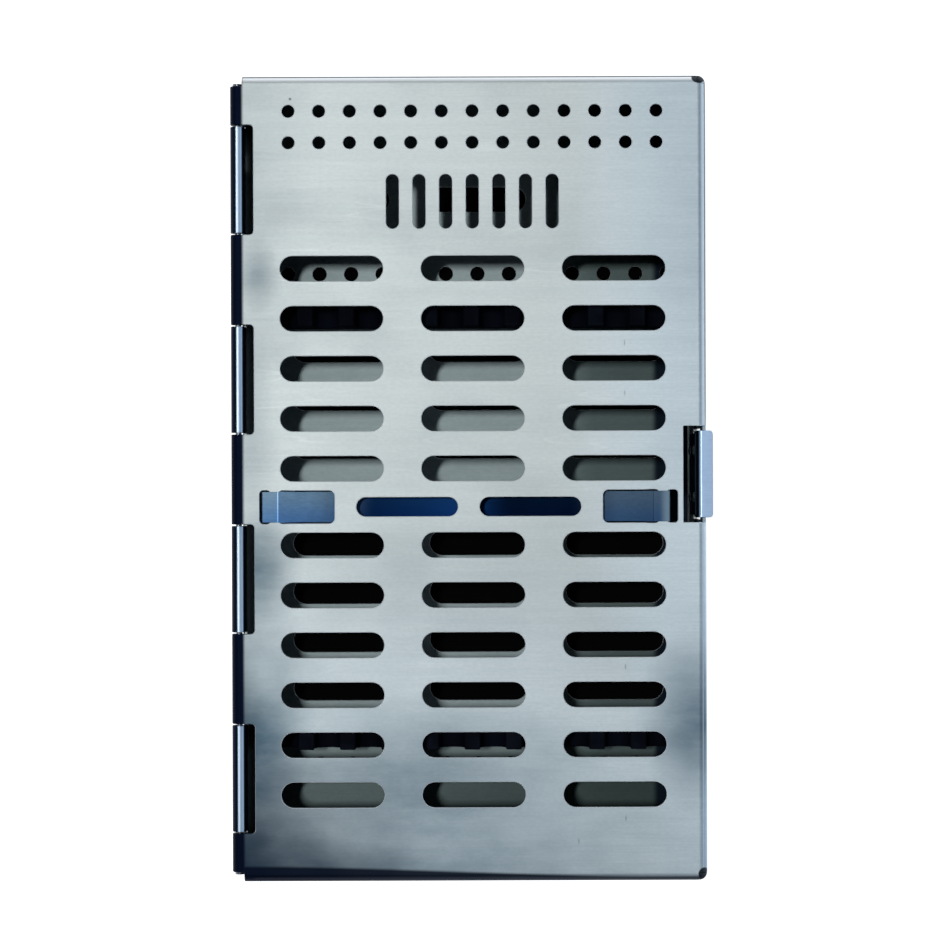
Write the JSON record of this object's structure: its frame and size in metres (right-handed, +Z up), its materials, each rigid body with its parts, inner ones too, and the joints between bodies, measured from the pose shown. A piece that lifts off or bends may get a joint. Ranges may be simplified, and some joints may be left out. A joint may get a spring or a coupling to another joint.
{
  "type": "dental instrument cassette",
  "caption": "Flat perforated steel cassette with a hinged lid, spring latch, hold-down leaf spring and two comb racks for dental instruments.",
  "frame": {"origin": "middle of the bounding box, on the table under the pan", "axes": "+X from the hinge to the latch, +Y along the cassette towards the accessory bay, +Z up"},
  "size_m": [0.1196, 0.2, 0.0226],
  "materials": {
    "pan_steel": "brushed stainless steel with a fine grain along the width",
    "lid_steel": "brushed stainless steel with a fine grain along the width",
    "rail_steel": "plain rolled stainless sheet",
    "spring_steel": "polished spring steel with a cool, bluish sheen",
    "pin_steel": "drawn stainless wire",
    "rivet_steel": "bright stainless rivets",
    "comb_silicone": "matt dark blue silicone rubber"
  },
  "bodies": {
    "case": {"base_pan": "pan_steel", "hinge_pin": "pin_steel", "rear_rail": "rail_steel", "rear_comb": "comb_silicone", "rear_rail_rivets": "rivet_steel", "front_rail": "rail_steel", "front_comb": "comb_silicone", "front_rail_rivets": "rivet_steel", "divider_wall": "rail_steel", "divider_rivets": "rivet_steel", "latch_foot": "spring_steel", "latch_foot_rivets": "rivet_steel"},
    "lid": {"lid_panel": "lid_steel", "hold_down_spring": "spring_steel"},
    "latch": {"latch_blade": "spring_steel", "latch_lip": "spring_steel", "latch_lip_rivets": "rivet_steel"}
  },
  "joints": [
    {"name": "lid_hinge", "type": "hinge", "parent": "case", "child": "lid", "pos_m": [-0.05803, 0, 0.0202], "axis": [0, -1, 0], "range_deg": [0, 180]},
    {"name": "latch_flex", "type": "hinge", "parent": "case", "child": "latch", "pos_m": [0.05563, 0.001, 0.0086], "axis": [0, -1, 0], "range_deg": [0, 14], "stiffness_Nm_per_rad": 0.4}
  ]
}
